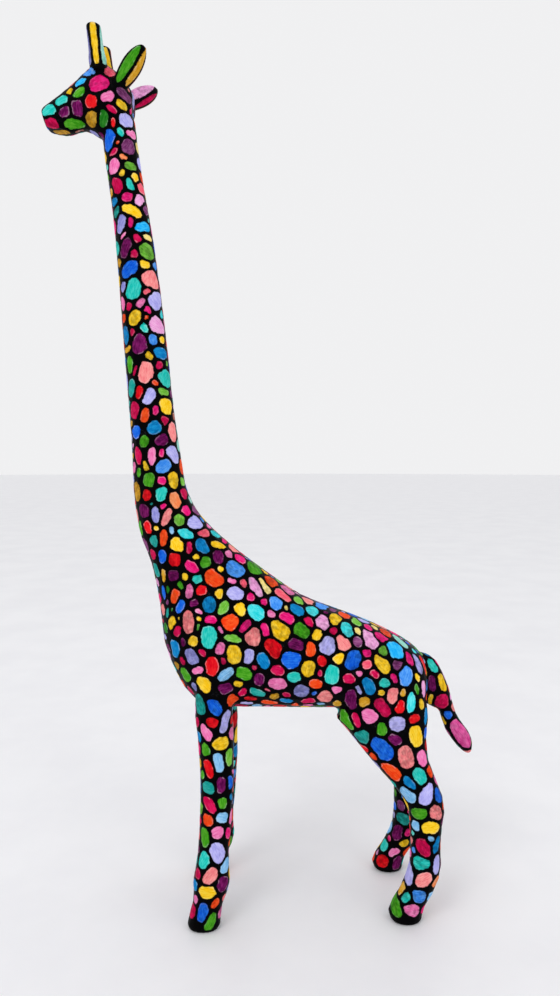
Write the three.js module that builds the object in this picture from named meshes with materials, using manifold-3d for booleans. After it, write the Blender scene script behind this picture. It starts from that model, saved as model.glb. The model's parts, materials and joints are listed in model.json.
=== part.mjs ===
// Carved giraffe statue, standing, in millimetres.
// +Z is up and the hooves stand on Z = 0. The giraffe faces -X and its left flank faces -Y.
// Torso, neck, head, legs, ears, horns and tail are separate carved pieces joined by wooden dowels.
import * as THREE from 'three';
import Module from 'manifold-3d';

const wasm = await Module();
wasm.setup();
const { Manifold, Mesh } = wasm;

// ---- driving dimensions ----
const FIT_GAP = 0.3;             // air gap left at every glued face
const LEG_JOINT_Z = 140.5;       // flat joint under the belly, across the top of each leg
const NECK_JOINT = { point: [-69, 0, 279.5], normal: [-0.447, 0, 0.894] };
const HEAD_JOINT = { point: [-97, 0, 530.5], normal: [0.164, 0, 0.986] };

const LEG_DOWEL = { diameter: 5, length: 24 };
const NECK_DOWEL = { diameter: 7, length: 30, spread: 7 };
const HEAD_DOWEL = { diameter: 8, length: 30 };
const TAIL_DOWEL = { diameter: 4.5, innerX: 104 };
const TENON_DIAMETER = 5;        // round tenons carved on the ears and horns
const TENON_DEPTH = 9;

const FRONT_DOWEL_X = [-40, -27.5];
const HIND_DOWEL_X = [74, 98];
const FRONT_DOWEL_Y = 19;
const HIND_DOWEL_Y = 18;
const TAIL_DOWELS = { upper: { z: 163, outerX: 121.5 }, lower: { z: 148, outerX: 125 } };

const HORN = { diameter: 9.6, flare: 1.2, rootZ: 570, side: 12.2 };
const HORN_LEAN = { topX: -111.3, rootX: -107.8 };
const HORN_TOP_Z = { left: 600, right: 598.2 };
const RIGHT_HORN_SETBACK = 1.4;  // the right horn stands a little further back, as carved
const EAR_ROOT = [-93.8, 14, 562.2];
const EAR_TIP = [-76.0, 27.8, 579.0];
const EAR_BROAD = [-0.68, 0, 0.73];   // direction across the broad face of the ear

// How each leg stands away from the shared leg shape.
const STANCE = {
  front_leg_left: { topX: 0, footX: 0, footOut: 0 },
  front_leg_right: { topX: 1.5, footX: 0.8, footOut: 0 },
  hind_leg_left: { topX: 0, footX: 0.5, footOut: -3.4 },
  hind_leg_right: { topX: -0.5, footX: -0.8, footOut: 2.6 },
};

const BODY_SIDES = 26;
const NECK_SIDES = 20;
const HEAD_SIDES = 24;
const LEG_SIDES = 18;
const EAR_SIDES = 14;
const TAIL_SIDES = 16;
const ROUND_SIDES = 16;

// Sections of the trunk from rump to shoulder, then up the neck.
// Each is [top x, top z, bottom x, bottom z, half width].
const TRUNK = [
  [113.6, 171.8, 113.6, 144.0, 13.0],
  [111.6, 178.0, 112.4, 141.6, 21.5],
  [105.6, 183.8, 107.6, 141.0, 28.0],
  [95.5, 190.0, 97.0, 141.0, 32.3],
  [75.0, 200.2, 78.0, 141.2, 34.0],
  [50.0, 209.8, 52.0, 141.3, 34.0],
  [27.0, 219.2, 25.0, 141.4, 33.5],
  [10.0, 230.4, -2.0, 141.8, 33.0],
  [-5.0, 241.4, -26.0, 142.0, 32.0],
  [-17.0, 250.6, -48.0, 147.0, 31.0],
  [-26.4, 258.6, -61.2, 166.0, 29.5],
  [-34.6, 266.2, -69.2, 188.0, 27.0],
  [-41.2, 273.0, -72.4, 215.0, 23.5],
  [-46.0, 279.0, -77.8, 243.0, 20.5],
  [-50.0, 286.0, -84.8, 261.0, 18.8],
  [-54.3, 297.0, -89.3, 284.0, 17.6],
  [-56.4, 310.0, -90.4, 304.0, 16.8],
];
const NECK = [
  [-44.0, 276.0, -77.0, 236.0, 20.8],
  [-50.0, 286.0, -84.8, 261.0, 18.8],
  [-54.3, 297.0, -89.3, 284.0, 17.6],
  [-56.4, 310.0, -90.4, 304.0, 16.8],
  [-59.2, 329.0, -91.2, 326.0, 15.9],
  [-62.2, 350.0, -92.6, 348.0, 15.2],
  [-66.2, 391.0, -95.6, 390.0, 14.6],
  [-70.8, 432.0, -98.3, 432.5, 13.8],
  [-76.3, 472.0, -101.4, 473.5, 12.8],
  [-79.8, 492.0, -103.6, 494.0, 12.2],
  [-83.0, 512.0, -106.5, 515.0, 12.0],
  [-85.2, 529.0, -108.6, 533.0, 12.0],
  [-87.0, 544.0, -110.0, 548.0, 11.5],
  [-90.0, 551.0, -107.0, 554.0, 8.0],
];
// Sections of the skull from the nose to the back of the head.
const SKULL = [
  [-148.6, 550.0, -146.4, 541.0, 6.0],
  [-147.0, 552.0, -144.6, 537.2, 7.6],
  [-141.4, 556.4, -139.0, 533.5, 8.8],
  [-133.6, 562.2, -129.6, 535.4, 9.8],
  [-124.8, 569.2, -120.0, 538.2, 11.8],
  [-116.0, 576.9, -112.0, 534.4, 14.6],
  [-107.0, 579.6, -105.4, 530.8, 16.4],
  [-98.4, 575.6, -99.0, 532.0, 16.0],
  [-91.4, 568.0, -92.4, 538.0, 13.2],
  [-87.2, 560.5, -88.4, 546.5, 8.5],
];
// Sections of the tail from the rump to the rounded tip.
const TAIL = [
  [111.0, 177.8, 111.0, 147.0, 9.3],
  [116.0, 177.0, 116.0, 141.0, 9.5],
  [122.8, 172.5, 122.4, 138.0, 9.4],
  [128.0, 163.0, 124.8, 136.8, 8.8],
  [131.8, 154.0, 126.6, 134.0, 7.8],
  [134.6, 145.0, 127.8, 130.0, 6.8],
  [136.8, 137.0, 129.2, 125.8, 6.0],
  [140.6, 129.0, 131.2, 120.8, 5.8],
  [146.4, 121.5, 134.6, 115.6, 6.3],
  [149.4, 115.0, 138.2, 111.0, 6.3],
  [150.0, 108.5, 142.6, 106.6, 4.9],
  [149.0, 105.2, 146.0, 104.6, 2.4],
];
// Level sections of a foreleg and a hind leg, from inside the trunk down to the flat sole.
// Each is [height, front x, rear x, distance out from the middle plane, half thickness].
const FRONT_LEG = [
  [176.0, -41.0, -25.0, 14.0, 7.0],
  [160.0, -47.0, -21.0, 17.0, 12.4],
  [139.0, -47.0, -21.5, 19.0, 13.0],
  [124.0, -45.0, -20.5, 21.0, 12.0],
  [111.0, -44.0, -20.8, 22.5, 11.3],
  [97.0, -43.2, -20.6, 24.5, 10.8],
  [84.0, -43.2, -21.5, 26.0, 10.4],
  [64.0, -44.0, -22.6, 28.5, 10.0],
  [50.0, -45.0, -24.0, 30.0, 10.0],
  [40.0, -46.5, -24.0, 31.0, 10.3],
  [31.0, -48.0, -23.3, 31.6, 10.8],
  [24.0, -47.7, -25.0, 32.0, 10.0],
  [16.0, -48.4, -28.2, 32.6, 9.1],
  [8.0, -50.6, -29.4, 33.0, 9.2],
  [2.5, -52.0, -29.6, 33.0, 9.2],
  [0.0, -51.0, -31.0, 33.0, 8.3],
];
const HIND_LEG = [
  [177.0, 80.0, 103.0, 13.0, 7.0],
  [160.0, 66.0, 111.0, 16.5, 15.0],
  [146.0, 54.0, 113.0, 17.5, 15.5],
  [138.0, 50.0, 113.6, 18.2, 15.0],
  [130.0, 57.0, 112.6, 19.2, 14.3],
  [123.0, 62.5, 112.0, 20.0, 13.8],
  [109.0, 74.0, 113.2, 21.6, 12.7],
  [95.0, 86.5, 118.5, 23.2, 12.0],
  [84.0, 95.0, 122.7, 24.6, 11.4],
  [74.0, 99.5, 124.0, 25.8, 10.9],
  [64.0, 100.2, 122.2, 26.8, 10.2],
  [52.0, 100.6, 121.0, 28.0, 9.8],
  [38.0, 100.0, 121.2, 29.6, 9.7],
  [30.0, 97.5, 119.8, 30.5, 10.0],
  [20.0, 93.0, 115.5, 31.5, 9.8],
  [11.0, 87.5, 110.0, 32.0, 9.9],
  [5.0, 85.0, 108.5, 32.0, 10.0],
  [1.5, 86.0, 108.0, 32.0, 9.6],
  [0.0, 87.5, 106.8, 32.0, 8.8],
];
// Sections along an ear from root to tip: [part of its length, half breadth, half thickness].
const EAR = [
  [-0.25, 4.6, 3.6],
  [0.0, 5.4, 4.0],
  [0.25, 6.6, 4.2],
  [0.5, 7.0, 4.1],
  [0.75, 5.8, 3.5],
  [0.92, 3.6, 2.5],
  [1.0, 1.6, 1.4],
];

// ---- helpers ----

// A smooth value through four neighbouring table rows, with t from 0 to 1 between the middle two.
function blendRows(a, b, c, d, t) {
  return b.map((_, i) => 0.5 * ((2 * b[i]) + (c[i] - a[i]) * t
    + (2 * a[i] - 5 * b[i] + 4 * c[i] - d[i]) * t * t
    + (3 * b[i] - a[i] - 3 * c[i] + d[i]) * t * t * t));
}

// Adds `steps` smooth rows in each interval of a section table.
function refine(rows, steps) {
  const last = rows.length - 1;
  const out = [];
  for (let i = 0; i < last; i += 1) {
    const a = rows[Math.max(i - 1, 0)];
    const d = rows[Math.min(i + 2, last)];
    for (let k = 0; k < steps; k += 1) out.push(blendRows(a, rows[i], rows[i + 1], d, k / steps));
  }
  out.push(rows[last]);
  return out;
}

// A closed solid through rings of equal point count, capped with a fan at each end.
function solidFromRings(rings) {
  const sides = rings[0].length;
  const points = rings.flat();
  const triangles = [];
  for (let r = 0; r + 1 < rings.length; r += 1) {
    for (let s = 0; s < sides; s += 1) {
      const a = r * sides + s;
      const b = r * sides + (s + 1) % sides;
      triangles.push([a, b, b + sides], [a, b + sides, a + sides]);
    }
  }
  const addCap = (ring, start, outward) => {
    const centre = points.length;
    points.push([0, 1, 2].map((k) => ring.reduce((sum, p) => sum + p[k], 0) / sides));
    for (let s = 0; s < sides; s += 1) {
      const a = start + s;
      const b = start + (s + 1) % sides;
      triangles.push(outward ? [centre, a, b] : [centre, b, a]);
    }
  };
  addCap(rings[0], 0, false);
  addCap(rings[rings.length - 1], (rings.length - 1) * sides, true);
  return makeSolid(points, triangles);
}

// A manifold from points and triangles, turned inside out first if it encloses negative volume.
function makeSolid(points, triangles) {
  let volume = 0;
  for (const [a, b, c] of triangles) {
    const [p, q, s] = [points[a], points[b], points[c]];
    volume += p[0] * (q[1] * s[2] - q[2] * s[1]) + p[1] * (q[2] * s[0] - q[0] * s[2])
      + p[2] * (q[0] * s[1] - q[1] * s[0]);
  }
  const facing = volume < 0 ? triangles.map(([a, b, c]) => [a, c, b]) : triangles;
  const mesh = new Mesh({
    numProp: 3,
    vertProperties: new Float32Array(points.flat()),
    triVerts: new Uint32Array(facing.flat()),
  });
  return new Manifold(mesh);
}

// One rounded section: a superellipse about `centre` with half sizes along two directions.
function ring(centre, alongA, halfA, alongB, halfB, sides, fullness) {
  const power = 2 / fullness;
  const points = [];
  for (let s = 0; s < sides; s += 1) {
    const angle = (2 * Math.PI * (s + 0.5)) / sides;
    const u = Math.sign(Math.cos(angle)) * Math.abs(Math.cos(angle)) ** power * halfA;
    const v = Math.sign(Math.sin(angle)) * Math.abs(Math.sin(angle)) ** power * halfB;
    points.push([0, 1, 2].map((k) => centre[k] + alongA[k] * u + alongB[k] * v));
  }
  return points;
}

// A loft in the middle plane through [top x, top z, bottom x, bottom z, half width] rows.
function loftMiddle(rows, steps, sides, fullness, grow = 0) {
  const rings = refine(rows, steps).map(([tx, tz, bx, bz, half]) => {
    const height = Math.hypot(tx - bx, tz - bz);
    const up = [(tx - bx) / height, 0, (tz - bz) / height];
    const centre = [(tx + bx) / 2, 0, (tz + bz) / 2];
    return ring(centre, up, height / 2 + grow, [0, 1, 0], half + grow, sides, fullness);
  });
  return solidFromRings(rings);
}

// A leg lofted through level sections; side is -1 for the left legs and +1 for the right ones.
// `stance` moves the top of the leg along X, and the hoof along X and out from the middle.
function loftLeg(rows, side, stance) {
  const rings = refine(rows, 1).map(([z, front, rear, out, half]) => {
    const drop = Math.max(0, 1 - z / LEG_JOINT_Z);
    const shiftX = stance.topX * (1 - drop) + stance.footX * drop;
    const centre = [(front + rear) / 2 + shiftX, side * (out + stance.footOut * drop), z];
    return ring(centre, [1, 0, 0], (rear - front) / 2, [0, 1, 0], half, LEG_SIDES, 2.2);
  });
  return solidFromRings(rings);
}

// A round bar between two points, with its radius at each end.
function bar(start, end, radius, endRadius = radius, sides = ROUND_SIDES) {
  const axis = new THREE.Vector3(...end).sub(new THREE.Vector3(...start)).normalize();
  const side = new THREE.Vector3(0, 1, 0);
  if (Math.abs(axis.dot(side)) > 0.9) side.set(1, 0, 0);
  side.cross(axis).normalize();
  const other = axis.clone().cross(side);
  return solidFromRings([
    ring(start, side.toArray(), radius, other.toArray(), radius, sides, 2),
    ring(end, side.toArray(), endRadius, other.toArray(), endRadius, sides, 2),
  ]);
}

// The part of a solid above or below a plane, cut back by half the fit gap.
function above(solid, { point, normal }) {
  const offset = point.reduce((sum, value, k) => sum + value * normal[k], 0);
  return solid.trimByPlane(normal, offset + FIT_GAP / 2);
}
function below(solid, { point, normal }) {
  return above(solid, { point, normal: normal.map((value) => -value) });
}

function shifted(point, direction, distance) {
  return point.map((value, k) => value + direction[k] * distance);
}

// A dowel and the hole it fits, centred on `centre` along `axis`.
function dowelAt(centre, axis, { diameter, length }) {
  const ends = [shifted(centre, axis, -length / 2), shifted(centre, axis, length / 2)];
  const holeEnds = [shifted(ends[0], axis, -FIT_GAP), shifted(ends[1], axis, FIT_GAP)];
  return {
    pin: bar(ends[0], ends[1], diameter / 2),
    hole: bar(holeEnds[0], holeEnds[1], diameter / 2 + FIT_GAP),
  };
}

// ---- dowels ----
const dowels = {};
const neckAlong = [NECK_JOINT.normal[2], 0, -NECK_JOINT.normal[0]];
dowels.dowel_neck_front = dowelAt(
  shifted(NECK_JOINT.point, neckAlong, -NECK_DOWEL.spread), NECK_JOINT.normal, NECK_DOWEL);
dowels.dowel_neck_rear = dowelAt(
  shifted(NECK_JOINT.point, neckAlong, NECK_DOWEL.spread), NECK_JOINT.normal, NECK_DOWEL);
dowels.dowel_head = dowelAt(HEAD_JOINT.point, HEAD_JOINT.normal, HEAD_DOWEL);

for (const [sideName, side] of [['left', -1], ['right', 1]]) {
  for (const [legName, xs, y] of [
    ['front', FRONT_DOWEL_X, FRONT_DOWEL_Y], ['hind', HIND_DOWEL_X, HIND_DOWEL_Y]]) {
    dowels[`dowel_${legName}_${sideName}_fore`] = dowelAt(
      [xs[0], side * y, LEG_JOINT_Z], [0, 0, 1], LEG_DOWEL);
    dowels[`dowel_${legName}_${sideName}_aft`] = dowelAt(
      [xs[1], side * y, LEG_JOINT_Z], [0, 0, 1], LEG_DOWEL);
  }
}
for (const [name, { z, outerX }] of Object.entries(TAIL_DOWELS)) {
  const length = outerX - TAIL_DOWEL.innerX;
  dowels[`dowel_tail_${name}`] = dowelAt(
    [TAIL_DOWEL.innerX + length / 2, 0, z], [1, 0, 0], { diameter: TAIL_DOWEL.diameter, length });
}

// Removes the holes of the named dowels from a solid.
function drilled(solid, matches) {
  return Object.keys(dowels).filter((name) => matches(name))
    .reduce((rest, name) => rest.subtract(dowels[name].hole), solid);
}

// ---- carved pieces ----
const legJoint = { point: [0, 0, LEG_JOINT_Z], normal: [0, 0, 1] };
const trunk = loftMiddle(TRUNK, 2, BODY_SIDES, 2.35);
const legs = {};
for (const [sideName, side] of [['left', -1], ['right', 1]]) {
  legs[`front_leg_${sideName}`] = loftLeg(FRONT_LEG, side, STANCE[`front_leg_${sideName}`]);
  legs[`hind_leg_${sideName}`] = loftLeg(HIND_LEG, side, STANCE[`hind_leg_${sideName}`]);
}

const trunkWithHips = Object.values(legs).reduce((rest, leg) => rest.add(leg), trunk);
const torso = drilled(below(above(trunkWithHips, legJoint), NECK_JOINT),
  (name) => name !== 'dowel_head');

const neckColumn = loftMiddle(NECK, 2, NECK_SIDES, 2);
const neck = drilled(below(above(neckColumn, NECK_JOINT), HEAD_JOINT),
  (name) => name.includes('neck') || name.includes('head'));

const headForm = above(loftMiddle(SKULL, 2, HEAD_SIDES, 2.3).add(neckColumn), HEAD_JOINT);
const headEnvelope = loftMiddle(SKULL, 2, HEAD_SIDES, 2.3, FIT_GAP)
  .add(loftMiddle(NECK, 2, NECK_SIDES, 2, FIT_GAP));

// A round tenon that runs from a surface point back into the head, and the socket it sits in.
function tenonAt(point, inward) {
  const outer = shifted(point, inward, -3);
  const end = shifted(point, inward, TENON_DEPTH);
  const socketEnd = shifted(end, inward, FIT_GAP);
  return {
    pin: bar(outer, end, TENON_DIAMETER / 2),
    socket: bar(outer, socketEnd, TENON_DIAMETER / 2 + FIT_GAP),
  };
}

// A straight horn with a flared foot, on a tenon.
function horn(side, topZ, setback) {
  const top = [HORN_LEAN.topX + setback, side * HORN.side, topZ];
  const root = [HORN_LEAN.rootX + setback, side * HORN.side, HORN.rootZ];
  const along = top.map((value, k) => value - root[k]);
  const at = (part) => root.map((value, k) => value + along[k] * part);
  const radius = HORN.diameter / 2;
  const rings = [[0, radius + HORN.flare], [0.3, radius + 0.7 * HORN.flare], [0.42, radius + 0.2],
    [0.6, radius], [0.98, radius - 0.1], [1, radius - 0.4]];
  const shape = solidFromRings(rings.map(([part, size]) => (
    ring(at(part), [1, 0, 0], size, [0, 1, 0], size, ROUND_SIDES, 2))));
  const length = Math.hypot(...along);
  const tenon = tenonAt(at(0.28), along.map((value) => -value / length));
  return { solid: shape.subtract(headEnvelope).add(tenon.pin), socket: tenon.socket };
}

// A leaf-shaped ear on a tenon.
function ear(side) {
  const root = new THREE.Vector3(EAR_ROOT[0], side * EAR_ROOT[1], EAR_ROOT[2]);
  const tip = new THREE.Vector3(EAR_TIP[0], side * EAR_TIP[1], EAR_TIP[2]);
  const axis = tip.clone().sub(root);
  const length = axis.length();
  axis.normalize();
  const broad = new THREE.Vector3(...EAR_BROAD);
  broad.addScaledVector(axis, -broad.dot(axis)).normalize();
  const thick = axis.clone().cross(broad);
  const rings = refine(EAR, 2).map(([part, halfBroad, halfThick]) => (
    ring(root.clone().addScaledVector(axis, part * length).toArray(), broad.toArray(), halfBroad,
      thick.toArray(), halfThick, EAR_SIDES, 2.4)));
  const inward = axis.clone().negate().toArray();
  const tenon = tenonAt(root.toArray(), inward);
  return { solid: solidFromRings(rings).subtract(headEnvelope).add(tenon.pin), socket: tenon.socket };
}

const ears = { ear_left: ear(-1), ear_right: ear(1) };
const horns = {
  ossicone_left: horn(-1, HORN_TOP_Z.left, 0),
  ossicone_right: horn(1, HORN_TOP_Z.right, RIGHT_HORN_SETBACK),
};
const headFixings = [...Object.values(ears), ...Object.values(horns)];
const head = drilled(headFixings.reduce((rest, { socket }) => rest.subtract(socket), headForm),
  (name) => name === 'dowel_head');

const trunkEnvelope = loftMiddle(TRUNK, 2, BODY_SIDES, 2.35, FIT_GAP)
  .add(bar([105, 0, 157], [TRUNK[0][0] + FIT_GAP, 0, 157], 14));
const tail = drilled(loftMiddle(TAIL, 2, TAIL_SIDES, 2.1).subtract(trunkEnvelope),
  (name) => name.includes('tail'));

// ---- meshes ----
const PAINTED = 0x151518;
const BARE_WOOD = 0xc79a63;

// The largest connected body of a solid, so that slivers left by a cut are dropped.
function mainBody(solid) {
  return solid.decompose().sort((a, b) => b.volume() - a.volume())[0];
}

function toMesh(name, solid, color) {
  const { vertProperties, triVerts, numProp } = mainBody(solid).getMesh();
  const positions = [];
  for (let i = 0; i < vertProperties.length; i += numProp) {
    positions.push(vertProperties[i], vertProperties[i + 1], vertProperties[i + 2]);
  }
  const geometry = new THREE.BufferGeometry();
  geometry.setAttribute('position', new THREE.Float32BufferAttribute(positions, 3));
  geometry.setIndex(Array.from(triVerts));
  geometry.computeVertexNormals();
  const mesh = new THREE.Mesh(geometry, new THREE.MeshStandardMaterial({ color }));
  mesh.name = name;
  return mesh;
}

const statue = new THREE.Group();
statue.name = 'giraffe_statue';
statue.add(toMesh('torso', torso, PAINTED));
statue.add(toMesh('neck', neck, PAINTED));
statue.add(toMesh('head', head, PAINTED));
for (const [name, solid] of Object.entries(legs)) {
  const isOwn = (dowel) => dowel.startsWith(`dowel_${name.replace('_leg', '')}`);
  statue.add(toMesh(name, drilled(below(solid, legJoint), isOwn), PAINTED));
}
for (const [name, { solid }] of Object.entries({ ...ears, ...horns })) {
  statue.add(toMesh(name, solid, PAINTED));
}
statue.add(toMesh('tail', tail, PAINTED));
for (const [name, { pin }] of Object.entries(dowels)) {
  statue.add(toMesh(name, pin, BARE_WOOD));
}

// Centre the statue over the origin.
const bounds = new THREE.Box3().setFromObject(statue);
statue.position.x = -(bounds.min.x + bounds.max.x) / 2;
statue.position.y = -(bounds.min.y + bounds.max.y) / 2;

export default statue;
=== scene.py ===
"""Carved giraffe statue: the visible skin, its painted pebble dots, and the studio around it.

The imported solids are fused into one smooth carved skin, which is then cut back into one piece for
each carved part. Dots are laid out over the skin as rounded cells with a black line between them.
Lengths in the tables and in the paint layout are in millimetres; Blender objects are in metres.
"""
import json
import math
import random

import bpy
import numpy as np
import openvdb
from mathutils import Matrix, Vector
from mathutils.bvhtree import BVHTree
from mathutils.noise import noise


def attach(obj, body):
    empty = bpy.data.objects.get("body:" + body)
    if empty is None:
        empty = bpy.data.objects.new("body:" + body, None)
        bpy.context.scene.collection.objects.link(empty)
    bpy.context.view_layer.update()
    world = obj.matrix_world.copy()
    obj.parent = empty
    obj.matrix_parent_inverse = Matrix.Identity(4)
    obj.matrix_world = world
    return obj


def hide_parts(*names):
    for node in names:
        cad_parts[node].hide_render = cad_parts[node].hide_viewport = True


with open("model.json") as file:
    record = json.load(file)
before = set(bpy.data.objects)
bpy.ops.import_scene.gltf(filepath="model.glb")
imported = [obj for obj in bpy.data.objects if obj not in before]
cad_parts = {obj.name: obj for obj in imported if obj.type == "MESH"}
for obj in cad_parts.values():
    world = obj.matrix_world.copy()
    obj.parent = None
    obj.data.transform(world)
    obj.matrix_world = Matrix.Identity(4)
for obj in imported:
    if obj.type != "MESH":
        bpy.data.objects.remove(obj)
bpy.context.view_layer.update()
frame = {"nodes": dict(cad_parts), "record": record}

MM = 1000.0
CARVED = [slot["node"] for slot in frame["record"]["subparts"]
          if slot["material_slot"] == "painted_wood"]
DOWELS = [slot["node"] for slot in frame["record"]["subparts"]
          if slot["material_slot"] == "bare_wood"]

# ---- carving ----
VOXEL = 0.7              # grid step of the skin
FILLET = 2.0             # radius filled into the corners where two parts meet
SMOOTH_PASSES = 16
SMOOTH_PULL = (0.55, -0.57)  # every other pass lets the skin out again, so it doesn't shrink
BORDER_PASSES = 6        # rounds of votes that even out the border between two parts
OWN_VOTE = 0.9           # weight of a vertex's own part in them, against 1 for each neighbour
KNIFE_WAVE = 0.16        # depth of the slow waves that hand carving leaves
KNIFE_PITCH = 17.0       # length of those waves

# ---- paint layout ----
SEED = 557
LINE = 1.6               # width of the black line between two dots
CORNER = 0.45            # how round the corners of a dot are where neighbours press on it
SWELL_PLACED = 0.45      # how far a dot with a known shape may grow past its own oval
SWELL_FREE = 0.9         # how far a free dot may grow into the room round it
PAINT_DEPTH = 0.16       # how far the paint of a dot stands above the black
SHAKE = 0.5              # how unsteady the edge of a dot is
SHAKE_PITCH = 2.1        # length of one such shake of the brush
STEADY_SHAKE = 0.35      # share of that on the ears and horns
SOLE_HEIGHT = 2.4        # the soles and their edge stay black
NO_DOT = -3.0            # depth written where no dot is near
SEARCH_CELL = 9.0        # cell size of the grid that finds the vertices near a dot

# Every dot draws its own outline between these.
FULLNESS = (1.9, 2.7)    # 2 is a plain oval, more is squarer
EGG = (0.0, 0.09)        # how far one end is narrower
THREE_CORNERS = (0.0, 0.07)  # how far it leans to three corners

# Where a dot from a table goes on the skin.
CLOSE = 1.0              # how near the drawn place a vertex has to be
OUTER_LAYER = 2.0        # how far behind the outermost such vertex it may lie
STEEPEST = 0.55          # least facing share of the normal, which limits the stretch on slopes

# Dot colours as they look, from 0 to 1: base, and the tone that the brush leaves in it.
PAINTS = {
    "magenta": ((0.88, 0.02, 0.42), (0.94, 0.20, 0.54)),
    "crimson": ((0.76, 0.01, 0.27), (0.86, 0.12, 0.37)),
    "red": ((0.85, 0.01, 0.10), (0.94, 0.14, 0.15)),
    "orange": ((0.94, 0.23, 0.06), (0.97, 0.38, 0.16)),
    "coral": ((0.94, 0.30, 0.42), (0.97, 0.46, 0.50)),
    "salmon": ((0.95, 0.48, 0.50), (0.99, 0.64, 0.62)),
    "peach": ((0.96, 0.50, 0.28), (0.98, 0.64, 0.44)),
    "yellow": ((0.97, 0.76, 0.04), (1.00, 0.86, 0.28)),
    "ochre": ((0.80, 0.57, 0.08), (0.88, 0.69, 0.26)),
    "cream": ((0.97, 0.86, 0.44), (0.99, 0.93, 0.66)),
    "green": ((0.20, 0.57, 0.07), (0.36, 0.68, 0.18)),
    "lime": ((0.38, 0.69, 0.18), (0.54, 0.79, 0.34)),
    "pine": ((0.08, 0.42, 0.08), (0.20, 0.53, 0.16)),
    "mint": ((0.55, 0.86, 0.79), (0.72, 0.92, 0.87)),
    "turquoise": ((0.06, 0.75, 0.70), (0.30, 0.84, 0.79)),
    "cyan": ((0.12, 0.82, 0.85), (0.40, 0.91, 0.92)),
    "teal": ((0.04, 0.58, 0.55), (0.22, 0.69, 0.65)),
    "azure": ((0.02, 0.64, 0.93), (0.26, 0.77, 0.96)),
    "cerulean": ((0.01, 0.45, 0.72), (0.10, 0.57, 0.81)),
    "blue": ((0.03, 0.33, 0.83), (0.16, 0.48, 0.90)),
    "cornflower": ((0.20, 0.52, 0.91), (0.38, 0.66, 0.96)),
    "sky": ((0.45, 0.71, 0.91), (0.63, 0.82, 0.96)),
    "lavender": ((0.65, 0.64, 0.91), (0.77, 0.76, 0.96)),
    "violet": ((0.50, 0.50, 0.78), (0.64, 0.64, 0.86)),
    "mauve": ((0.42, 0.15, 0.37), (0.60, 0.34, 0.54)),
    "plum": ((0.32, 0.01, 0.25), (0.52, 0.12, 0.41)),
    "pink": ((0.92, 0.40, 0.66), (0.96, 0.58, 0.77)),
    "rose": ((0.93, 0.60, 0.84), (0.97, 0.74, 0.90)),
    "orchid": ((0.84, 0.26, 0.56), (0.91, 0.43, 0.68)),
    "buff": ((0.62, 0.34, 0.30), (0.74, 0.48, 0.42)),
}
# How often each colour comes up where the layout is free.
SHARES = {
    "magenta": 8, "crimson": 8, "red": 6, "orange": 8, "salmon": 9, "yellow": 12, "green": 8,
    "lime": 3, "turquoise": 8, "cyan": 5, "teal": 3, "cerulean": 6, "blue": 6, "cornflower": 4,
    "sky": 3, "lavender": 8, "plum": 7, "pink": 6, "rose": 4,
}

# Dots seen on the left side: [x, z, half length, half width, angle, colour]. The angle turns the
# long way from +X towards +Z, in degrees.
HEAD_DOTS = [
    (-142.5, 547.3, 4.6, 4.1, 25, "turquoise"), (-134.2, 553.5, 4.9, 3.2, 25, "turquoise"),
    (-141.8, 538.4, 4.9, 3.5, -35, "crimson"),
    (-128.3, 559, 2.8, 2.2, 40, "yellow"), (-122, 557.5, 5, 3.6, 40, "green"),
    (-132, 545.5, 4.1, 3.6, 70, "plum"), (-124, 547.6, 5.5, 4, 95, "plum"),
    (-126, 538.8, 6.6, 2.5, -5, "green"), (-114.5, 540.8, 4.2, 3.8, 60, "ochre"),
    (-113.6, 550, 4.2, 3.9, 80, "red"), (-108.2, 561.5, 6.4, 5.5, 15, "magenta"),
    (-120.8, 564.8, 4.9, 2.6, 33, "azure"), (-114.4, 570.4, 4.6, 3, 22, "cornflower"),
    (-103.5, 570.5, 3.5, 3.3, -30, "coral"), (-102, 552.5, 4.6, 3.7, 25, "pink"),
    (-100.3, 545.5, 4.1, 2.5, -40, "crimson"), (-92, 555.5, 4.6, 3.1, -40, "mauve"),
    (-93.5, 549.5, 4.4, 3, -35, "yellow"), (-92, 541, 5, 4.5, -60, "lavender"),
    (-105.3, 540, 5, 3, 70, "pine"), (-99.8, 538, 3.7, 1.9, 95, "red"),
    (-103, 527.5, 7.3, 3.8, 75, "blue"), (-95.3, 532.3, 3.9, 3.1, -40, "turquoise"),
    (-89, 532.8, 3.1, 2.8, 0, "pink"), (-97, 525.5, 2.4, 1.7, 60, "orange"),
    (-90.5, 524.3, 5.4, 4.4, 60, "mauve"), (-100, 519.5, 4.1, 2.5, 35, "crimson"),
    (-93.5, 516, 2.7, 2.1, -20, "peach"), (-100, 510.5, 5.3, 3.8, 75, "pink"),
    (-89, 510.8, 3.7, 2.7, -10, "lime"),
]
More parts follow.
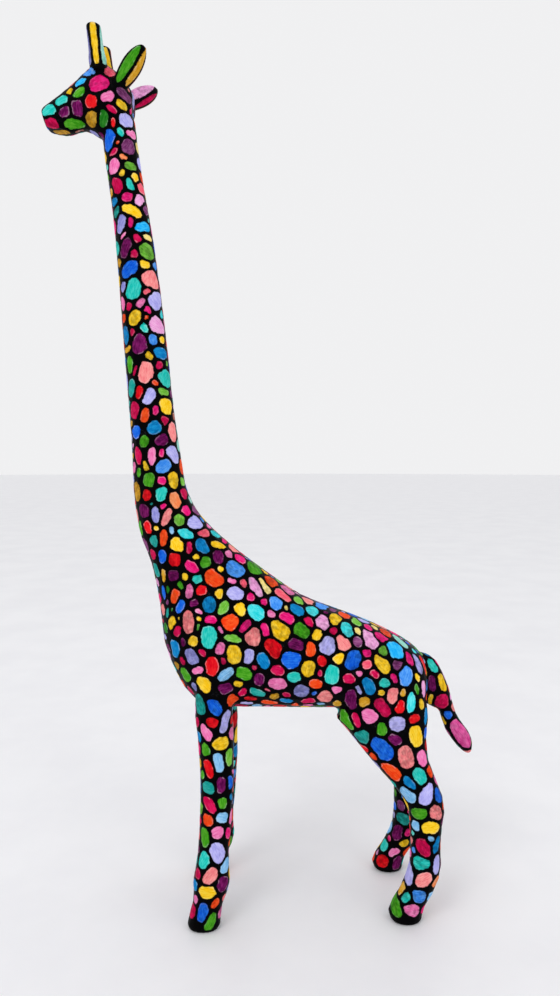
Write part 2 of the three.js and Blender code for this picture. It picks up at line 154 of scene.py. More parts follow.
# Dots under the jaw: [x, y, half length, half width, angle, colour], the angle from +X towards +Y.
JAW_DOTS = [
    (-137, 0, 6.3, 3.2, -25, "ochre"), (-124, -2, 4.2, 2.4, 0, "buff"),
    (-114.5, -2, 3.6, 3, 0, "violet"),
]
NECK_DOTS = [
    (-84.5, 526, 3.8, 1.5, -75, "cream"), (-83.5, 514, 4.5, 1.8, -75, "lavender"),
    (-95, 506, 3.3, 2.1, 58, "yellow"), (-86.3, 504, 3.7, 2.3, -70, "yellow"),
    (-82.3, 505.5, 4.8, 1.8, -78, "orange"), (-89.5, 499, 4.1, 2.4, -72, "turquoise"),
    (-98, 498, 5.6, 3.8, -85, "crimson"), (-82.6, 498, 4.4, 2.3, -65, "coral"),
    (-102.5, 494.5, 3, 1.5, -80, "ochre"), (-91, 490, 4.2, 3.5, 5, "magenta"),
    (-100.8, 488, 3, 2.1, 80, "cerulean"), (-83.2, 489, 4.2, 3.2, 55, "rose"),
    (-88, 481.5, 6.8, 4, -25, "yellow"), (-99, 481, 3.9, 1.9, 65, "teal"),
    (-79.8, 484, 2.9, 1.8, -50, "mauve"), (-95.3, 472.5, 6.4, 3, 72, "violet"),
    (-89, 473.3, 4, 2.1, 90, "magenta"), (-80.7, 471.3, 4.6, 3.3, 20, "azure"),
    (-93.8, 465, 3.4, 1.2, 52, "pink"), (-84.4, 462.8, 3.3, 2.7, -60, "crimson"),
    (-78.5, 465.3, 2.5, 1.8, -15, "cream"), (-79, 455.3, 5.6, 5, -35, "lime"),
    (-93, 457, 7.3, 3.6, 70, "plum"), (-86.7, 452.8, 3.2, 2.9, 90, "crimson"),
    (-98, 448.5, 2.7, 1.6, 80, "ochre"), (-90.3, 442.8, 7.2, 4.3, 42, "blue"),
    (-80.2, 446, 3.6, 3.2, 0, "yellow"), (-74, 447.2, 2.7, 1.5, -80, "cornflower"),
    (-75.7, 436.8, 5.9, 4.8, 80, "salmon"), (-87.8, 429.5, 7.3, 5.4, 75, "turquoise"),
    (-94.7, 431.3, 3.3, 2, 70, "violet"), (-78.3, 427.8, 3.4, 2.3, 40, "coral"),
    (-73.3, 422.8, 5.6, 4.6, -65, "lavender"), (-82.5, 420.5, 4.3, 2.8, 50, "pink"),
    (-91, 418, 2.9, 2.2, 80, "crimson"), (-95.5, 420.5, 5, 1.7, -80, "pink"),
    (-78, 416, 3.5, 2.4, -60, "magenta"), (-87, 410.5, 5.7, 4.1, 65, "yellow"),
    (-78.7, 410.3, 2.2, 2.1, 0, "orange"), (-95, 411, 3, 1.4, 80, "orange"),
    (-72.5, 405.8, 5.6, 4.6, -30, "rose"), (-79.8, 403.7, 3.9, 3.2, -50, "turquoise"),
    (-93.8, 399, 6.9, 2, -85, "cerulean"), (-89, 400.7, 2.4, 1.8, 80, "crimson"),
    (-83.8, 393, 6.8, 5.2, 80, "plum"), (-74.7, 396.3, 4.1, 3, -80, "cornflower"),
    (-69.5, 397.5, 2.3, 1.9, -50, "yellow"), (-69.8, 387.8, 4, 3.6, -15, "cerulean"),
    (-92.5, 390.3, 2.7, 2, 20, "ochre"), (-77.5, 385.3, 3.4, 2.4, -50, "yellow"),
    (-90.7, 380, 5.9, 2.5, -80, "green"), (-70.8, 379, 3.1, 2.3, 70, "crimson"),
    (-87.5, 375.3, 4.1, 1.6, 75, "crimson"), (-79.2, 374, 7.4, 5.1, 82, "salmon"),
    (-67, 371, 5.4, 4, 75, "turquoise"), (-73.7, 367.2, 3.2, 2.1, -15, "orange"),
    (-90.2, 364, 6.1, 2.5, 80, "teal"), (-84.3, 360.6, 4.5, 3, 80, "red"),
    (-77, 358, 6, 3.7, 60, "lavender"), (-68.4, 361.8, 3.4, 2.5, -15, "lime"),
    (-63.5, 361, 2.8, 1.3, -80, "mauve"), (-66.8, 351.5, 5.7, 3.7, 85, "yellow"),
    (-88.5, 348.6, 5.6, 3.3, 78, "crimson"), (-73, 349.3, 3.4, 2.4, 60, "magenta"),
    (-80.5, 345.3, 4.8, 2.7, 72, "orange"), (-67.2, 342.3, 3.3, 2.7, -50, "crimson"),
    (-62, 345.5, 2.5, 1.2, -80, "buff"), (-91, 340, 2.4, 1.3, 80, "ochre"),
    (-74.3, 337.2, 4.9, 4.5, 30, "cerulean"), (-62.8, 335, 7.1, 2.4, -80, "salmon"),
    (-87.6, 334, 4.2, 3.2, 80, "blue"), (-81.5, 327.7, 4.2, 3.2, 70, "green"),
    (-69, 328.3, 4.7, 4.1, 25, "plum"), (-58, 325, 4.5, 1.4, -80, "mint"),
    (-86, 317.5, 6.1, 2.5, -78, "crimson"), (-76, 317.3, 6.2, 2.6, 88, "pink"),
    (-69.2, 319.6, 3.2, 2, 90, "magenta"), (-62.2, 319.2, 6.2, 2.9, -58, "lavender"),
    (-80, 311.2, 3.9, 2.1, -65, "yellow"), (-68.5, 311, 5.8, 4.6, 35, "cornflower"),
    (-56.7, 311, 5.6, 1.9, -82, "orange"), (-85.5, 307, 3.2, 1.5, 80, "green"),
    (-77.9, 302.2, 5.1, 3.7, 82, "green"), (-69.4, 301.6, 3, 2.8, 0, "magenta"),
    (-62, 301.5, 5.7, 3.3, -80, "yellow"), (-56.2, 300.3, 3.1, 1.6, -75, "lime"),
    (-87.5, 294, 6.5, 2.5, -82, "ochre"), (-80, 291.4, 3.9, 3, 85, "red"),
    (-70, 292, 5.6, 3.5, 78, "turquoise"), (-54.8, 292.5, 4, 2, -68, "crimson"),
    (-60.3, 287.3, 5.8, 3.2, -72, "peach"), (-76.6, 285.6, 1.8, 1.4, 0, "teal"),
    (-68.5, 284.3, 2.9, 2.2, 40, "magenta"), (-50, 288, 3.5, 1.5, -60, "mint"),
]
TRUNK_DOTS = [
    (-81.9, 280.3, 4.6, 4, 80, "plum"), (-73.6, 278, 6, 2.8, 95, "violet"),
    (-65.9, 277, 7, 2.6, 68, "salmon"), (-53.2, 280.5, 4, 2.5, -60, "magenta"),
    (-47.2, 280.6, 4.5, 2.5, -50, "mauve"), (-57.8, 275, 4.4, 3.7, 90, "lime"),
    (-47.2, 272.5, 5.1, 4, -10, "lavender"), (-73, 269, 2, 1.9, 0, "yellow"),
    (-79, 269, 4.9, 2.6, -70, "red"), (-85.5, 268, 5, 1.9, -75, "green"),
    (-62.3, 267.5, 2.6, 1.6, -75, "sky"), (-53.8, 265.5, 5.9, 3.1, -28, "cyan"),
    (-41.3, 265.5, 3.1, 2.4, 15, "coral"), (-38, 269.5, 2.6, 1.7, -20, "pink"),
    (-33.6, 264.5, 4.1, 2.9, -60, "cyan"), (-68, 263, 5.9, 2.7, 85, "orange"),
    (-74.8, 260.8, 4.4, 2.7, -80, "teal"), (-58.8, 258, 5.7, 4.3, -70, "yellow"),
    (-51, 256.8, 4.2, 1.9, 90, "crimson"), (-42.2, 257.5, 5.7, 3.5, -58, "cerulean"),
    (-32, 257.3, 5.2, 1.7, -20, "yellow"), (-27, 260, 3, 2.1, -45, "magenta"),
    (-20.8, 254.5, 4.6, 2.5, -35, "salmon"), (-81.8, 256.5, 5.3, 2.2, -65, "mauve"),
    (-76.3, 250.7, 3.8, 1.8, -75, "crimson"), (-69.3, 250, 4.6, 2.8, 90, "blue"),
    (-61, 249, 4.8, 3.8, 90, "red"), (-46, 250.2, 2.6, 1.9, -15, "yellow"),
    (-39.3, 247, 3.9, 3.7, 0, "green"), (-31.6, 250, 4.4, 3.5, 90, "plum"),
    (-24.6, 251, 2.5, 2.4, 0, "pink"), (-16.4, 247, 5, 2.4, -28, "magenta"),
    (-49, 244, 5.2, 3.2, -40, "magenta"), (-74, 240, 4.8, 2, -65, "teal"),
    (-61, 237.7, 3.8, 3.5, 0, "plum"), (-53.7, 236.8, 2.6, 2, 90, "yellow"),
    (-68.4, 236.7, 4.2, 1.4, -85, "ochre"), (-45, 235.3, 3.3, 3, 20, "turquoise"),
    (-29.5, 241.8, 2.7, 2.2, -45, "yellow"), (-33.8, 236, 6.7, 4.9, -40, "orange"),
    (-19.6, 241.5, 6.5, 5, -35, "cornflower"), (-56.6, 231.5, 3.1, 2, -70, "green"),
    (-50, 228, 5, 2.7, 85, "pink"), (-42.3, 228.3, 3.7, 3.5, 0, "red"),
    (-30.2, 226.3, 3.3, 2.6, 80, "yellow"), (-22, 234.5, 3.5, 1.9, -15, "pink"),
    (-14, 232.5, 3, 2.4, -60, "coral"), (-19.3, 226, 5.7, 4.4, -20, "lavender"),
    (-60.4, 224, 5.3, 2.9, 75, "orange"), (-68.5, 225, 5.2, 1.4, -80, "blue"),
    (-65.6, 228, 3, 1.3, -80, "pine"), (-66, 218.5, 3, 1.3, 90, "mauve"),
    (-56.7, 217.5, 5.1, 2.8, 65, "blue"), (-47.3, 220, 2.9, 2.8, 0, "plum"),
    (-37, 219, 5.7, 4.5, 90, "cerulean"), (-27.8, 217, 5, 3.2, 60, "lime"),
    (-16.8, 216, 4.5, 3.7, -60, "yellow"), (-5.8, 214, 6.4, 4.8, -35, "cyan"),
    (-62.4, 214.3, 2, 1.4, 70, "pine"), (-43.5, 214.7, 3, 1.8, -30, "pink"),
    (-50.9, 207.3, 7.7, 4, 92, "salmon"), (-43.8, 209.8, 1.8, 1.8, 0, "yellow"),
    (-58, 209, 2, 1.4, 90, "yellow"), (-62.7, 205.5, 4.8, 2.7, 65, "yellow"),
    (-67.8, 200.5, 3.4, 1.7, 80, "pine"), (-65.6, 212.5, 4, 1.3, 80, "teal"),
    (-59, 200.8, 4, 2.6, 75, "crimson"), (-36.2, 209.2, 4.2, 3, 0, "magenta"),
    (-23.2, 207.4, 5.9, 5.4, 20, "orange"), (-44.2, 203.7, 2.7, 1.1, 80, "green"),
    (-29.6, 202.5, 2.9, 1.5, -55, "pink"), (-13, 205, 5.1, 2.8, 52, "magenta"),
    (0, 203, 4.3, 3.1, -70, "magenta"), (-37.2, 197.5, 7.8, 5.3, 90, "turquoise"),
    (-48, 194.5, 3.6, 3, 60, "yellow"), (-21.3, 196.2, 6, 2.6, -12, "lime"),
    (-7.8, 197.5, 6, 5.4, 90, "salmon"), (-54.6, 193, 3, 1.8, 90, "plum"),
    (-29.5, 189.8, 4.5, 3.2, 75, "pink"), (-61, 187.3, 6.2, 2.9, -85, "cerulean"),
    (-20.5, 185.5, 6.5, 5, -80, "yellow"), (-11, 184.2, 5.2, 3.5, 75, "lavender"),
    (-49.2, 183.5, 5.8, 4, -65, "violet"), (-41.6, 186.3, 2.8, 1.9, -35, "crimson"),
    (-35.2, 177.2, 6.6, 4.6, 85, "red"), (-27.6, 181.8, 2.6, 1.8, -80, "crimson"),
    (-0.8, 181.5, 5.8, 3.9, -60, "cerulean"), (-55.8, 179.5, 3.2, 1.5, -60, "crimson"),
    (-59.8, 174.3, 2.8, 1.8, -75, "ochre"), (-45, 174, 4.2, 2.4, 30, "pink"),
    (-26.5, 171.8, 6.5, 3.2, 38, "sky"), (-14, 172.5, 5.7, 4.5, -10, "green"),
    (-7.6, 176.5, 2.2, 2.1, 0, "crimson"), (-54, 169.5, 5.8, 2.7, -60, "green"),
    (-40.7, 164, 5.9, 4.1, -50, "yellow"), (-3.6, 169.3, 4.6, 3.4, 90, "plum"),
    (-26.4, 161.8, 4.8, 3.7, 15, "plum"), (-15, 158, 4, 2.5, 60, "crimson"),
    (-5, 158.5, 5.8, 2.6, -18, "teal"), (-48, 161.5, 3.6, 1.7, -65, "violet"),
    (-51.5, 157, 3.8, 1.4, -60, "crimson"), (-10, 153.5, 4.6, 1.7, -10, "red"),
    (-12, 149, 4.5, 1.4, 0, "lavender"), (-7.2, 241, 5.8, 3.2, -55, "green"),
    (-6, 229.3, 7.2, 3.4, -58, "rose"), (0, 230, 5.6, 2, -55, "cream"),
    (4.8, 231.5, 5, 3.2, -45, "orange"), (12.8, 222.7, 6.8, 2.1, -38, "coral"),
    (15.8, 225.5, 4.9, 2.8, -50, "pink"), (24.2, 219, 3.6, 2.9, -40, "lime"),
    (31, 217.3, 4.2, 3.4, -45, "salmon"), (-9.6, 223.5, 2.9, 2.6, 0, "magenta"),
    (-0.7, 220, 2.7, 2.2, 0, "magenta"), (7.7, 218.7, 4.9, 4.2, -60, "cornflower"),
    (14.6, 215.3, 2.2, 1.8, -70, "cream"), (22, 213.8, 5.3, 3, -20, "cerulean"),
    (32.6, 212, 4.6, 2.6, -10, "cyan"), (40.7, 214.3, 4.5, 3.8, -40, "cornflower"),
    (48.5, 212, 3.4, 2.2, -30, "mauve"), (55.8, 207.3, 5, 3, -38, "orange"),
    (48.4, 207, 4.4, 4, -30, "yellow"), (5, 212.7, 3.5, 2.6, -10, "pink"),
    (15, 209.3, 5.8, 3.8, -25, "magenta"), (30.2, 206, 4.2, 2.7, -45, "crimson"),
    (39.5, 205, 5.7, 4.6, -25, "rose"), (46.2, 200.5, 3.1, 2.7, 10, "crimson"),
    (55.5, 200.3, 4.6, 3.5, -75, "cyan"), (9.8, 201.8, 7.3, 5.6, -50, "yellow"),
    (25, 201, 6, 4.7, -35, "green"), (35.3, 199, 4.3, 3.5, 60, "yellow"),
    (6.2, 190.3, 7, 4.8, -60, "red"), (20.8, 193, 5.2, 4.2, -20, "plum"),
    (30.5, 189.7, 4.7, 3.4, 90, "orange"), (42, 191.7, 6.3, 5.4, 60, "lavender"),
    (52.5, 193.3, 5.9, 4.5, -50, "salmon"), (62.5, 192.7, 4.4, 3.4, 0, "mauve"),
    (17, 182.3, 6.5, 5.9, 0, "blue"), (38.3, 181.5, 3.9, 3, -80, "red"),
    (63.7, 198.3, 2.5, 2.4, 0, "cream"), (63.3, 203.9, 3.9, 2.8, -12, "lime"),
    (71.6, 193.8, 6.6, 4.3, -61, "rose"), (29, 176.2, 5.6, 4.4, 80, "yellow"),
    (9, 174.8, 4.7, 3.5, -15, "crimson"), (19, 170.5, 4.6, 3.6, 10, "turquoise"),
    (36.7, 173.5, 2.7, 1.6, 75, "crimson"), (9, 165.3, 6.2, 4.2, 5, "pink"),
    (34, 165.3, 4.4, 3.6, -10, "orange"), (25, 160, 5.2, 4.6, -15, "violet"),
    (48, 161.5, 3.1, 2.6, 20, "pink"), (33, 158, 2.3, 2, 45, "blue"),
    (40.3, 155.5, 5.2, 5, -15, "salmon"), (29.5, 151.5, 5, 2.4, 12, "crimson"),
    (14.7, 157, 2.9, 2, -20, "crimson"), (6.7, 155.5, 3.3, 2.8, 25, "ochre"),
    (14.7, 151.8, 5, 2, -15, "cerulean"), (3.4, 149.5, 5.4, 1.8, -8, "orange"),
    (49, 148.5, 3.2, 2.8, 90, "ochre"), (38, 149, 2.9, 1.6, -5, "sky"),
    (30, 147, 4, 1.4, 0, "pink"), (38.5, 146, 3.5, 1.4, 0, "green"),
    (45, 145, 3.3, 1.6, -15, "red"), (1.5, 160.5, 2.7, 1.2, -20, "crimson"),
    (70.5, 204.5, 5, 2, -28, "lavender"), (71.8, 200, 3.3, 2.7, -20, "magenta"),
    (77, 198.7, 2.3, 2.2, 0, "cream"), (85, 195, 4.6, 3.6, -35, "orange"),
    (79.5, 194.3, 4.3, 3.3, -45, "magenta"), (94.5, 190, 6, 1.9, -58, "mint"),
]
FRONT_LEG_DOTS = [
    (-44.3, 151, 6.3, 3.2, 110, "teal"), (-34, 149.5, 6, 3.8, -50, "blue"),
    (-22.5, 152.5, 4.7, 3.1, 60, "orange"), (-35.8, 139.5, 4.3, 3.6, 10, "red"),
    (-26.5, 139.5, 7.3, 2.7, 68, "lavender"), (-39.7, 132.8, 6, 3.4, -65, "pink"),
    (-29, 126, 5.7, 4.3, 10, "yellow"), (-40, 121.5, 4.4, 3.1, -75, "green"),
    (-31, 113, 6.3, 3.5, -80, "sky"), (-24, 115, 5.7, 2.2, 88, "lime"),
    (-37.5, 109, 6, 3, -75, "red"), (-38.5, 96.5, 4.4, 3.7, -20, "teal"),
    (-29.7, 97.8, 5, 3.2, 80, "plum"), (-36.8, 84.5, 6.2, 3.4, -55, "crimson"),
    (-28.5, 86, 3.7, 2.8, 90, "green"), (-38, 75, 4.2, 3.6, 90, "orange"),
    (-29, 76.5, 4.3, 3.4, -20, "sky"), (-40.8, 63.7, 6.6, 3, -82, "green"),
    (-32, 67, 4.2, 3.9, 30, "pink"), (-32, 53.5, 7.5, 5.2, -65, "lavender"),
    (-41.4, 48.6, 6.2, 3.6, 65, "turquoise"), (-26.7, 44, 4.6, 3, 60, "sky"),
    (-45.2, 39, 3.6, 1.9, 85, "crimson"), (-36.5, 39, 6.2, 4, 50, "salmon"),
    (-28, 33, 5.3, 3.6, 80, "plum"), (-39, 28.5, 6, 4.5, 0, "yellow"),
    (-33.2, 21, 3.8, 2.2, 55, "orange"), (-49.5, 13, 4.5, 2.4, 70, "crimson"),
    (-41.5, 14, 6.3, 3.6, 78, "blue"), (-35.8, 9, 6.2, 3.3, 65, "green"),
    (-30, 10.5, 3.5, 1.9, 90, "pink"),
]
HIND_LEG_DOTS = [
    (58.5, 181.5, 6.8, 5.6, 70, "blue"), (49.3, 183.3, 4.2, 3.3, 40, "yellow"),
    (78.3, 178.5, 7.6, 4, -52, "yellow"), (68, 179, 3.8, 3.4, 20, "coral"),
    (94, 170.5, 7, 5.3, 70, "cornflower"), (56, 170, 4.2, 3.5, 0, "crimson"),
    (44.8, 172.8, 6.6, 4.6, 85, "turquoise"), (70, 164, 6.8, 3.9, -70, "cerulean"),
    (80, 166.5, 3.9, 3.2, -20, "turquoise"), (87.3, 168.5, 4.4, 2.5, -55, "magenta"),
    (62.5, 173, 2.6, 2.2, 0, "pink"), (73, 172.5, 3.8, 2.2, -40, "crimson"),
    (58.5, 154, 7, 4.2, 95, "plum"), (85.5, 157.5, 6, 3.8, 78, "salmon"),
    (78, 159.5, 2.4, 2.2, 0, "yellow"), (92.5, 159.5, 3.2, 2.2, 90, "ochre"),
    (102.6, 160.6, 4.2, 1.7, -80, "green"), (66.6, 152.5, 4.2, 3.5, 30, "ochre"),
    (78.5, 149.5, 6.6, 4, -55, "crimson"), (91.5, 149.5, 4.6, 3.1, 70, "red"),
    (98.7, 152, 7, 3.3, 82, "cyan"), (106.6, 149.4, 3.8, 1.6, -78, "yellow"),
    (70.5, 142.8, 5.5, 4.8, -15, "pink"), (61.5, 140, 5.6, 2.6, -75, "crimson"),
    (54.5, 139, 7.2, 3.4, -58, "green"), (88.3, 137.8, 5.5, 5, 0, "lavender"),
    (101, 140.5, 3.9, 3.3, 10, "red"), (78.8, 134.3, 4.6, 3.2, 90, "green"),
    (65.5, 128, 5, 4, -50, "teal"), (102.8, 128.5, 7.8, 4.5, -75, "yellow"),
    (87.2, 126.8, 4.9, 3.3, -32, "plum"), (79.7, 121, 9, 5.7, -50, "blue"),
    (94.7, 115.5, 7.8, 5, -75, "salmon"), (107.3, 112.5, 5.8, 3.3, -70, "pink"),
    (85.6, 105, 7.8, 3.8, -42, "orange"), (104.8, 102, 6.2, 4.2, -55, "turquoise"),
    (97.8, 96.8, 5.5, 2.9, -50, "cerulean"), (96.3, 88, 6.2, 3.6, -50, "sky"),
    (109.3, 89, 7.6, 4.5, 62, "lavender"), (118.3, 87, 5, 2.6, -75, "blue"),
    (115.7, 76.5, 5.8, 4.4, -50, "salmon"), (104, 76, 5.2, 4, 20, "green"),
    (112.7, 66.8, 6.6, 4.6, 5, "yellow"), (102.2, 67, 3.9, 2.4, 90, "sky"),
    (112, 59, 2.6, 2.2, -20, "sky"), (106.8, 53.8, 6.4, 4.4, -60, "crimson"),
    (116.2, 53.5, 6, 2.4, 70, "cerulean"), (105.7, 42.3, 5.3, 4.4, 0, "turquoise"),
    (116.5, 41, 6.6, 2.6, 85, "lavender"), (107.6, 32, 6.3, 4.2, 30, "salmon"),
    (96.5, 32.5, 6.4, 2.6, 95, "lavender"), (116, 29, 3.5, 1.9, 45, "peach"),
    (104, 20.5, 4.7, 4.3, 0, "cornflower"), (92, 22.5, 5.5, 2, 60, "ochre"),
    (95, 19, 4, 2.5, 50, "turquoise"), (88, 12.5, 5.2, 3.2, -65, "green"),
    (99.2, 11.5, 5.7, 4.2, -15, "pink"), (110.6, 139.5, 5.8, 1.5, 88, "cerulean"),
    (62.5, 161, 3.6, 1.8, -65, "lavender"), (108, 159.6, 6.4, 1.5, -82, "rose"),
    (104.4, 176.4, 6.4, 2.1, -72, "lavender"), (98.4, 180.2, 4.6, 2.4, -72, "magenta"),
    (109.8, 174.5, 6.2, 1.3, -76, "red"), (89.5, 177.7, 3.6, 3.3, -20, "mauve"),
    (88.6, 186.8, 5.6, 4.1, -60, "azure"), (79.6, 187.2, 3.8, 3.5, 20, "lime"),
    (69.3, 186.4, 3.6, 3.5, 0, "magenta"), (103.4, 168.6, 3.6, 1.6, -66, "yellow"),
]
TAIL_DOTS = [
    (119, 169.8, 5.4, 2.7, -60, "turquoise"), (118.3, 158, 6, 2.7, -86, "plum"),
    (125.6, 157.8, 6.4, 2.6, -70, "yellow"), (125.2, 145, 5.8, 5.2, 60, "crimson"),
    (117.6, 144.8, 5, 1.8, 86, "yellow"),
    (130.5, 134, 3.3, 2.8, -60, "blue"), (140.2, 119.8, 11.6, 5.2, -57, "orchid"),
]
# Dots on the inner side of the right hind leg, seen between the legs.
FAR_LEG_DOTS = [
    (89.5, 9, 4.6, 4, 30, "red"), (101, 8, 6, 3.3, 80, "plum"),
    (91.7, 19.5, 4.3, 2.2, 65, "turquoise"), (98.5, 16.3, 4.6, 2.8, 30, "pink"),
    (106, 25, 3.9, 3.2, 10, "yellow"), (101, 32, 6.5, 3.8, 75, "plum"),
    (108.5, 33.5, 3.5, 2.4, 60, "magenta"), (104.5, 44, 5, 4.2, -30, "teal"),
    (102.5, 54.5, 4, 2.4, -80, "mauve"),
]

# Stripes round the upper end of each horn: [direction faced in degrees, half width, colour].
HORN_STRIPES = {
    "ossicone_left": [(-85, 2.8, "yellow"), (5, 2.9, "mint"), (95, 2.9, "coral"),
                      (183, 2.9, "violet")],
    "ossicone_right": [(-74, 2.9, "yellow"), (20, 2.8, "orange"), (110, 2.9, "turquoise"),
                       (-162, 2.8, "mint")],
}
HORN_STRIPED = 26.0      # how far down from the top the stripes reach
STRIPE_MIDDLE = 12.4     # height of a stripe's middle above the foot of that length
STRIPE_HALF_LENGTH = 14.3
HORN_RADIUS = 4.8

# Panels of each ear: [facing outwards, facing broadways, place along the ear, across it and out
# from its middle, half length, half width, colour].
EAR_PANELS = [
    (1.0, 0.0, 1.2, 0.6, 3.4, 13.4, 3.3, "green"),
    (0.55, -0.85, 2.6, -5.0, 2.0, 14.8, 2.4, "ochre"),
    (-1.0, 0.0, 1.0, 1.6, -3.4, 13.6, 4.4, "rose"),
    (-0.6, -0.8, 1.0, -5.4, -2.0, 13.0, 2.0, "crimson"),
]

# Size classes of the free dots: [share, smallest and largest mean radius].
SIZES = [(0.34, 3.7, 5.0), (0.40, 2.5, 3.7), (0.26, 1.5, 2.4)]
SMALLEST_DOT = 1.35
SMALLEST_ON_LEFT = 2.2   # the left side is laid out from the tables, so little is added there
SMALLER_ABOVE = [(290, 0.82), (225, 0.84)]  # heights above which dots are smaller, and the share
STRETCH = (1.02, 1.34)   # least and most that a free dot is drawn out
TRUNK_HEIGHTS = (138, 270)  # outside these, free dots lie mostly along the legs and neck
LIMB_SPREAD, TRUNK_SPREAD = 40, 90  # degrees either way from that direction
SITE_STEP = 5            # one skin vertex in so many may be the middle of a free dot
MUCH_ROOM = 60.0         # room counted where no dot is near
SAME_COLOUR_GAP = 15     # free dots nearer than this have different colours


# ---- the carved skin ----

def solid_arrays(names):
    """Points in millimetres and triangles of the named CAD nodes, with the node of each triangle."""
    points, triangles, owners = [], [], []
    start = 0
    for number, name in enumerate(names):
        mesh = frame["nodes"][name].data
        mesh.calc_loop_triangles()
        co = np.empty(len(mesh.vertices) * 3, np.float32)
        mesh.vertices.foreach_get("co", co)
        tri = np.empty(len(mesh.loop_triangles) * 3, np.int32)
        mesh.loop_triangles.foreach_get("vertices", tri)
        points.append(co.reshape(-1, 3) * MM)
        triangles.append(tri.reshape(-1, 3) + start)
        owners.append(np.full(len(tri) // 3, number))
        start += len(points[-1])
    return np.concatenate(points), np.concatenate(triangles), np.concatenate(owners)


def level_set(points, triangles=None, quads=None):
    """A distance field around a closed surface, wide enough for the fillet."""
    return openvdb.FloatGrid.createLevelSetFromPolygons(
        np.ascontiguousarray(points, np.float32),
        triangles=None if triangles is None else np.ascontiguousarray(triangles, np.uint32),
        quads=None if quads is None else np.ascontiguousarray(quads, np.uint32),
        transform=openvdb.createLinearTransform(voxelSize=VOXEL),
        halfWidth=FILLET / VOXEL + 3)


def fuse(points, triangles):
    """One closed skin round all the solids, with their meeting corners filled to FILLET."""
    swollen, quads = level_set(points, triangles=triangles).convertToQuads(FILLET)
    return level_set(swollen, quads=quads).convertToQuads(-FILLET)


def neighbour_sums(edges, values):
    """For each vertex, the sum of its neighbours' values."""
    count = len(values)
    total = np.empty_like(values)
    for k in range(values.shape[1]):
        total[:, k] = (np.bincount(edges[:, 0], values[edges[:, 1], k], count)
                       + np.bincount(edges[:, 1], values[edges[:, 0], k], count))
    return total


def quad_edges(quads):
    edges = np.concatenate([quads[:, [k, (k + 1) % 4]] for k in range(4)])
    edges.sort(axis=1)
    return np.unique(edges, axis=0)


def smooth(points, edges):
    """Takes the grid steps and facets out of the skin without shrinking it."""
    degree = np.bincount(edges.ravel(), minlength=len(points))[:, None]
    for step in range(SMOOTH_PASSES):
        pull = SMOOTH_PULL[step % 2]
        points = points + pull * (neighbour_sums(edges, points) / degree - points)
    return points


def vertex_normals(points, quads):
    a, b, c, d = (points[quads[:, k]] for k in range(4))
    face = np.cross(c - a, d - b)
    normals = np.zeros_like(points)
    for k in range(4):
        for axis in range(3):
            normals[:, axis] += np.bincount(quads[:, k], face[:, axis], len(points))
    return normals / np.linalg.norm(normals, axis=1, keepdims=True)


def slow_noise(points, pitch):
    """Smooth noise over the points, from about -1 to 1, with waves as long as the pitch."""
    return np.array([noise(Vector(p / pitch)) for p in points])


def part_of_each_vertex(points, edges, solid_points, solid_triangles, owners):
    """The number of the carved part that each skin vertex belongs to, with a clean border."""
    tree = BVHTree.FromPolygons(solid_points.tolist(), solid_triangles.tolist())
    nearest = np.array([tree.find_nearest(p)[2] for p in points.tolist()])
    part = owners[nearest]
    for _ in range(BORDER_PASSES):
        votes = np.zeros((len(points), len(CARVED)))
        votes[np.arange(len(points)), part] = 1.0
        part = np.argmax(votes * OWN_VOTE + neighbour_sums(edges, votes), axis=1)
    return part


class Skin:
    """The fused surface in millimetres, with its normals and the part of each vertex."""

    def __init__(self):
        solid_points, solid_triangles, owners = solid_arrays(CARVED)
        points, quads = fuse(solid_points, solid_triangles)
        points = points.astype(float)
        self.quads = quads.astype(int)[:, ::-1]
        self.edges = quad_edges(self.quads)
        points = smooth(points, self.edges)
        normals = vertex_normals(points, self.quads)
        outward = np.sum(normals * (points - points.mean(axis=0)))
        if outward < 0:
            self.quads = self.quads[:, ::-1]
            normals = -normals
        points = points + normals * (KNIFE_WAVE * slow_noise(points, KNIFE_PITCH))[:, None]
        points[:, 2] = np.maximum(points[:, 2], 0.0)
        self.points = points
        self.normals = vertex_normals(points, self.quads)
        self.part = part_of_each_vertex(
            points, self.edges, solid_points, solid_triangles, owners)

    def parts(self, *beginnings):
        """The numbers of the carved parts whose names begin as given."""
        return [number for number, name in enumerate(CARVED) if name.startswith(beginnings)]


# ---- dots ----

